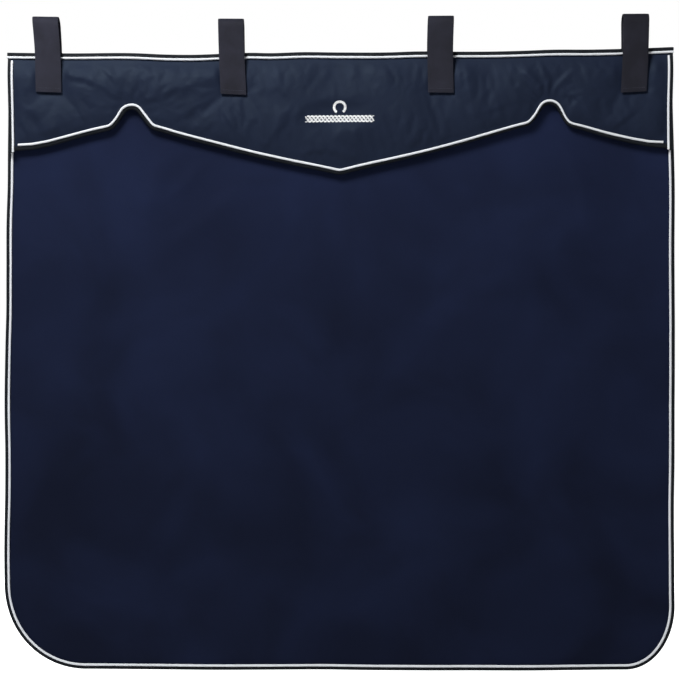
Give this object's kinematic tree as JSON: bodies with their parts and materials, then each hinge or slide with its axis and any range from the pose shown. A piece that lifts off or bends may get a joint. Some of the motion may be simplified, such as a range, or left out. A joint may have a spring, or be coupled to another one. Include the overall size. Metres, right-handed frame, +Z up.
{
  "type": "stable curtain",
  "caption": "Rectangular hanging cloth curtain with rounded lower corners, a padded shaped valance, piped and bound edges, and rail straps.",
  "frame": {"origin": "on the axis of the rail that the straps hang from, at the curtain's mid-width", "axes": "+X along the rail to the right as seen from the front, +Y to the back, +Z up"},
  "size_m": [1.2512, 0.0365, 1.223],
  "materials": {
    "canvas": "matte navy woven polyester canvas",
    "lining": "matte dark navy woven lining",
    "nylon": "slightly glossy navy nylon shell",
    "wadding": "soft white polyester wadding",
    "binding": "near-black navy woven binding tape",
    "piping": "white cord piping",
    "webbing": "charcoal navy ribbed webbing",
    "fastener": "dark hook-and-loop tape",
    "thread": "white satin embroidery thread"
  },
  "bodies": {
    "root": {"top_binding": "binding", "top_piping": "piping", "panel_canvas_header": "canvas", "panel_lining_header": "lining", "panel_binding_header_left": "binding", "panel_binding_header_right": "binding", "panel_piping_header_left": "piping", "panel_piping_header_right": "piping", "valance_shell_header": "nylon", "valance_wadding_header": "wadding", "valance_lining_header": "lining", "valance_binding_header_left": "binding", "valance_binding_header_right": "binding", "valance_piping_header_left": "piping", "valance_piping_header_right": "piping", "strap_1_hanger": "webbing", "strap_1_pile_patch": "fastener", "strap_2_hanger": "webbing", "strap_2_pile_patch": "fastener", "strap_3_hanger": "webbing", "strap_3_pile_patch": "fastener", "strap_4_hanger": "webbing", "strap_4_pile_patch": "fastener"},
    "drop": {"panel_canvas_drop": "canvas", "panel_lining_drop": "lining", "panel_binding_drop": "binding", "panel_piping_drop": "piping"},
    "valance_flap": {"valance_shell_flap": "nylon", "valance_wadding_flap": "wadding", "valance_lining_flap": "lining", "valance_binding_hem": "binding", "valance_piping_hem": "piping", "valance_binding_flap_left": "binding", "valance_binding_flap_right": "binding", "valance_piping_flap_left": "piping", "valance_piping_flap_right": "piping", "emblem_horseshoe": "thread", "emblem_plait": "thread"},
    "tongue_1": {"strap_1_tongue": "webbing", "strap_1_hook_patch": "fastener"},
    "tongue_2": {"strap_2_tongue": "webbing", "strap_2_hook_patch": "fastener"},
    "tongue_3": {"strap_3_tongue": "webbing", "strap_3_hook_patch": "fastener"},
    "tongue_4": {"strap_4_tongue": "webbing", "strap_4_hook_patch": "fastener"}
  },
  "joints": [
    {"name": "swing_drop", "type": "hinge", "parent": "root", "child": "drop", "pos_m": [0, 0, -0.2907], "axis": [-1, 0, 0], "range_deg": [-90, 90]},
    {"name": "lift_valance", "type": "hinge", "parent": "root", "child": "valance_flap", "pos_m": [0, -0.01975, -0.136], "axis": [-1, 0, 0], "range_deg": [0, 100]},
    {"name": "open_strap_1", "type": "hinge", "parent": "root", "child": "tongue_1", "pos_m": [-0.552, -0.01699, 0.00049], "axis": [-1, 0, 0], "range_deg": [0, 165]},
    {"name": "open_strap_2", "type": "hinge", "parent": "root", "child": "tongue_2", "pos_m": [-0.196, -0.01699, 0.00049], "axis": [-1, 0, 0], "range_deg": [0, 165]},
    {"name": "open_strap_3", "type": "hinge", "parent": "root", "child": "tongue_3", "pos_m": [0.196, -0.01699, 0.00049], "axis": [-1, 0, 0], "range_deg": [0, 165]},
    {"name": "open_strap_4", "type": "hinge", "parent": "root", "child": "tongue_4", "pos_m": [0.552, -0.01699, 0.00049], "axis": [-1, 0, 0], "range_deg": [0, 165]}
  ]
}
